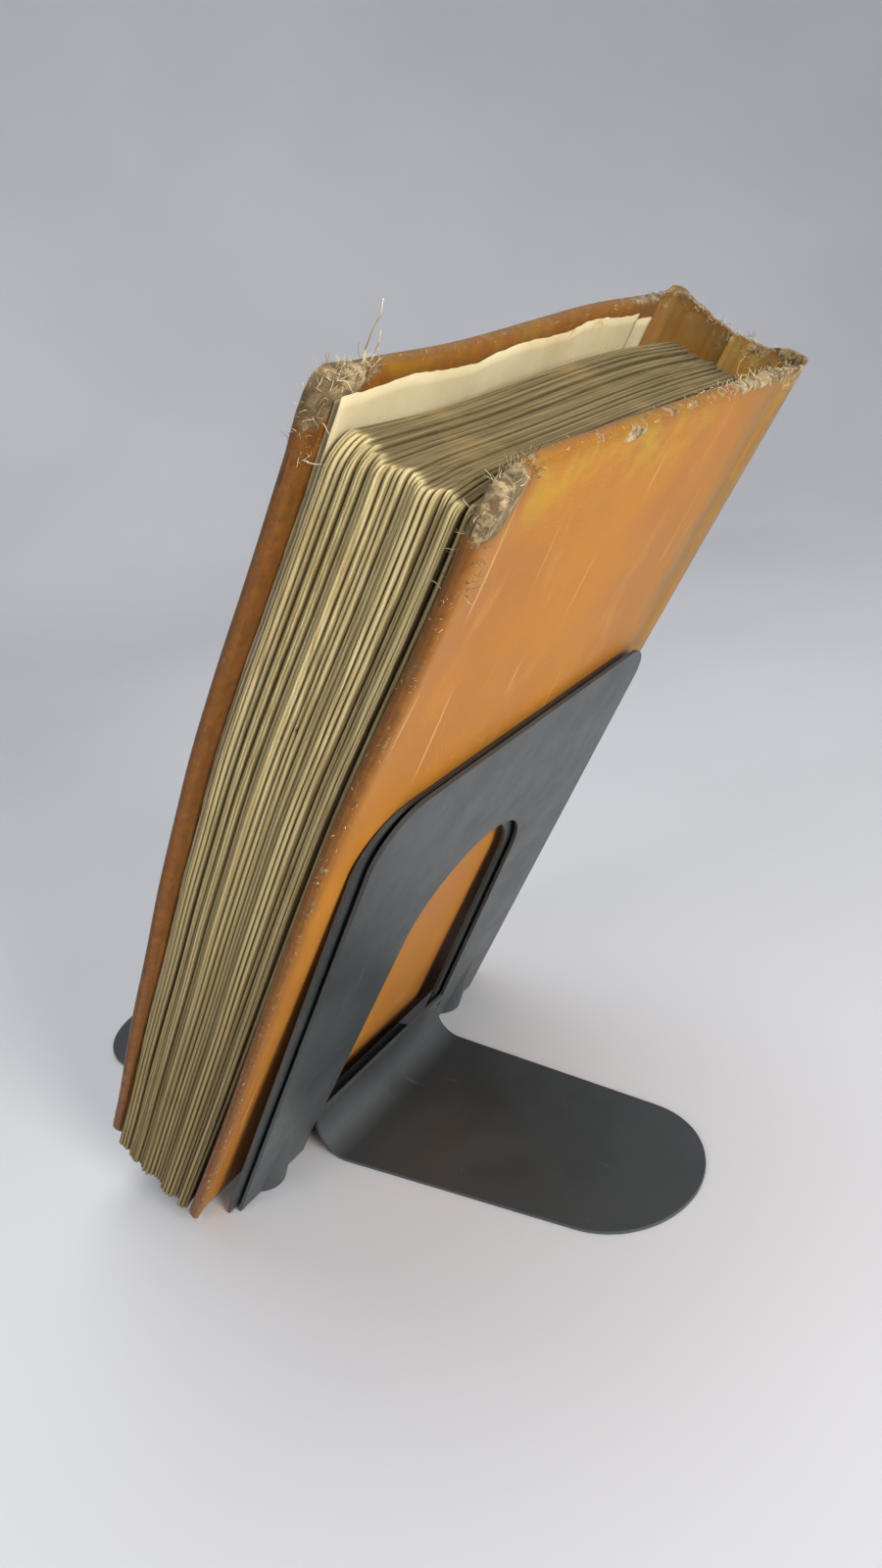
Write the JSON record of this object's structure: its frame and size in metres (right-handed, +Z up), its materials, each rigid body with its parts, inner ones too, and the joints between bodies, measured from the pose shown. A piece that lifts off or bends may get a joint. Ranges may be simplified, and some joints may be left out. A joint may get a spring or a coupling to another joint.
{
  "type": "photo album stand",
  "caption": "A cloth-bound hollow-back album leaning on a nested pair of sheet-steel bookends with arched plates and rounded floor tongues",
  "frame": {"origin": "On the floor, at the middle of the whole assembly's outline", "axes": "+X along the outer bookend's floor tongue, the way the plates and the album lean; +Y from the album's fore edge to its spine, along the bookends' fold lines; +Z up"},
  "size_m": [0.2487, 0.142, 0.219],
  "materials": {
    "painted_steel": "smooth satin grey enamel, lightly scuffed",
    "book_cloth": "worn woven book cloth, frayed at the corners",
    "board": "grey-brown pulp board",
    "endpaper": "aged cream paper",
    "leaf_paper": "thick aged leaves with toned edges",
    "mull": "open-weave hinge cloth"
  },
  "bodies": {
    "outer_bookend": {"outer_bookend": "painted_steel"},
    "inner_bookend": {"inner_bookend": "painted_steel"},
    "near_cover": {"near_board": "board", "near_cloth": "book_cloth", "near_mull": "mull", "near_pastedown": "endpaper"},
    "page_block": {"near_wing": "book_cloth", "far_wing": "book_cloth", "spine_cloth": "book_cloth", "spine_card": "board", "spine_lining": "mull", "near_flyleaf": "endpaper", "leaf_01": "leaf_paper", "leaf_02": "leaf_paper", "leaf_03": "leaf_paper"},
    "section_2": {"leaf_04": "leaf_paper", "leaf_05": "leaf_paper", "leaf_06": "leaf_paper"},
    "section_3": {"leaf_07": "leaf_paper", "leaf_08": "leaf_paper", "leaf_09": "leaf_paper"},
    "section_4": {"leaf_10": "leaf_paper", "leaf_11": "leaf_paper", "leaf_12": "leaf_paper"},
    "section_5": {"leaf_13": "leaf_paper", "leaf_14": "leaf_paper", "leaf_15": "leaf_paper"},
    "section_6": {"leaf_16": "leaf_paper", "leaf_17": "leaf_paper", "leaf_18": "leaf_paper"},
    "section_7": {"leaf_19": "leaf_paper", "leaf_20": "leaf_paper", "leaf_21": "leaf_paper"},
    "section_8": {"leaf_22": "leaf_paper", "leaf_23": "leaf_paper", "leaf_24": "leaf_paper"},
    "far_cover": {"far_board": "board", "far_cloth": "book_cloth", "far_mull": "mull", "far_pastedown": "endpaper", "far_flyleaf": "endpaper"}
  },
  "joints": [
    {"name": "inner_bookend_slide", "type": "slide", "parent": "outer_bookend", "child": "inner_bookend", "axis": [0, 1, 0], "range_m": [-0.03, 0]},
    {"name": "album_tilt", "type": "hinge", "parent": "outer_bookend", "child": "near_cover", "pos_m": [-0.0167, 0, 0.0013], "axis": [0, -1, 0], "range_deg": [0, 36]},
    {"name": "near_joint", "type": "hinge", "parent": "near_cover", "child": "page_block", "pos_m": [0.05384, 0.058, 0.09838], "axis": [-0.5878, 0, -0.809], "range_deg": [0, 25]},
    {"name": "far_joint", "type": "hinge", "parent": "page_block", "child": "far_cover", "pos_m": [0.02148, 0.058, 0.12189], "axis": [-0.5878, 0, -0.809], "range_deg": [0, 120]},
    {"name": "section_2_turn", "type": "hinge", "parent": "page_block", "child": "section_2", "pos_m": [0.04702, 0.0474, 0.10333], "axis": [-0.5878, 0, -0.809], "range_deg": [0, 5.72]},
    {"name": "section_3_turn", "type": "hinge", "parent": "page_block", "child": "section_3", "pos_m": [0.0448, 0.0474, 0.10495], "axis": [-0.5878, 0, -0.809], "range_deg": [0, 11.44]},
    {"name": "section_4_turn", "type": "hinge", "parent": "page_block", "child": "section_4", "pos_m": [0.04257, 0.0474, 0.10657], "axis": [-0.5878, 0, -0.809], "range_deg": [0, 17.15]},
    {"name": "section_5_turn", "type": "hinge", "parent": "page_block", "child": "section_5", "pos_m": [0.04035, 0.0474, 0.10818], "axis": [-0.5878, 0, -0.809], "range_deg": [0, 22.87]},
    {"name": "section_6_turn", "type": "hinge", "parent": "page_block", "child": "section_6", "pos_m": [0.03812, 0.0474, 0.1098], "axis": [-0.5878, 0, -0.809], "range_deg": [0, 28.58]},
    {"name": "section_7_turn", "type": "hinge", "parent": "page_block", "child": "section_7", "pos_m": [0.0359, 0.0474, 0.11142], "axis": [-0.5878, 0, -0.809], "range_deg": [0, 34.3]},
    {"name": "section_8_turn", "type": "hinge", "parent": "page_block", "child": "section_8", "pos_m": [0.03367, 0.0474, 0.11303], "axis": [-0.5878, 0, -0.809], "range_deg": [0, 40.01]}
  ],
  "couplings": [
    {"joint": "section_2_turn", "follows": "far_joint", "ratio": 0.047619},
    {"joint": "section_3_turn", "follows": "far_joint", "ratio": 0.095238},
    {"joint": "section_4_turn", "follows": "far_joint", "ratio": 0.14286},
    {"joint": "section_5_turn", "follows": "far_joint", "ratio": 0.19048},
    {"joint": "section_6_turn", "follows": "far_joint", "ratio": 0.2381},
    {"joint": "section_7_turn", "follows": "far_joint", "ratio": 0.28571},
    {"joint": "section_8_turn", "follows": "far_joint", "ratio": 0.33333}
  ]
}
